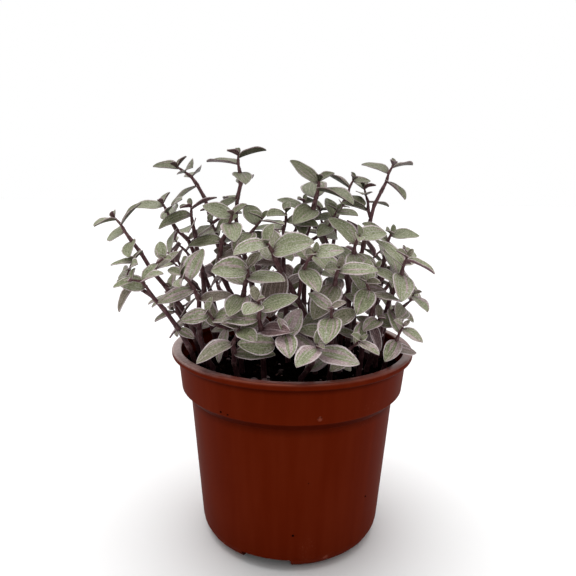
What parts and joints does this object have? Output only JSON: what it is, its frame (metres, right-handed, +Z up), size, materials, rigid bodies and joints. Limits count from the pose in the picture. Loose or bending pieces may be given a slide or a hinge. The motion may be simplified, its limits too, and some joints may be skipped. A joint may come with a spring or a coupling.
{
  "type": "potted turtle vine",
  "caption": "Small-leaved trailing turtle vine growing upright and loose over the rim of a round tapering nursery pot filled with soil.",
  "frame": {"origin": "middle of the pot's underside, on the surface that the pot stands on, on the pot's axis", "axes": "+Z up along the pot's axis, -Y towards the side that the picture shows, +X to its right"},
  "size_m": [0.1608, 0.1414, 0.1936],
  "materials": {
    "pot_plastic": "moulded polypropylene with a soft sheen, terracotta brown",
    "potting_soil": "damp dark peat with crumbs and a few pale grains",
    "leafy_stem": "satin grey-green leaf with cream and pink stripes, purple underneath, on purple-brown stems"
  },
  "bodies": {
    "root": {"pot": "pot_plastic", "soil": "potting_soil", "leafy_stem_01": "leafy_stem", "leafy_stem_02": "leafy_stem", "leafy_stem_03": "leafy_stem", "leafy_stem_04": "leafy_stem", "leafy_stem_05": "leafy_stem", "leafy_stem_06": "leafy_stem", "leafy_stem_07": "leafy_stem", "leafy_stem_08": "leafy_stem", "leafy_stem_09": "leafy_stem", "leafy_stem_10": "leafy_stem", "leafy_stem_11": "leafy_stem", "leafy_stem_12": "leafy_stem", "leafy_stem_13": "leafy_stem", "leafy_stem_14": "leafy_stem", "leafy_stem_15": "leafy_stem", "leafy_stem_16": "leafy_stem", "leafy_stem_17": "leafy_stem", "leafy_stem_18": "leafy_stem", "leafy_stem_19": "leafy_stem", "leafy_stem_20": "leafy_stem", "leafy_stem_21": "leafy_stem", "leafy_stem_22": "leafy_stem", "leafy_stem_23": "leafy_stem", "leafy_stem_24": "leafy_stem", "leafy_stem_25": "leafy_stem", "leafy_stem_26": "leafy_stem", "leafy_stem_27": "leafy_stem", "leafy_stem_28": "leafy_stem", "leafy_stem_29": "leafy_stem", "leafy_stem_30": "leafy_stem", "leafy_stem_31": "leafy_stem", "leafy_stem_32": "leafy_stem", "leafy_stem_33": "leafy_stem", "leafy_stem_34": "leafy_stem", "leafy_stem_35": "leafy_stem", "leafy_stem_36": "leafy_stem", "leafy_stem_37": "leafy_stem", "leafy_stem_38": "leafy_stem"}
  },
  "joints": []
}
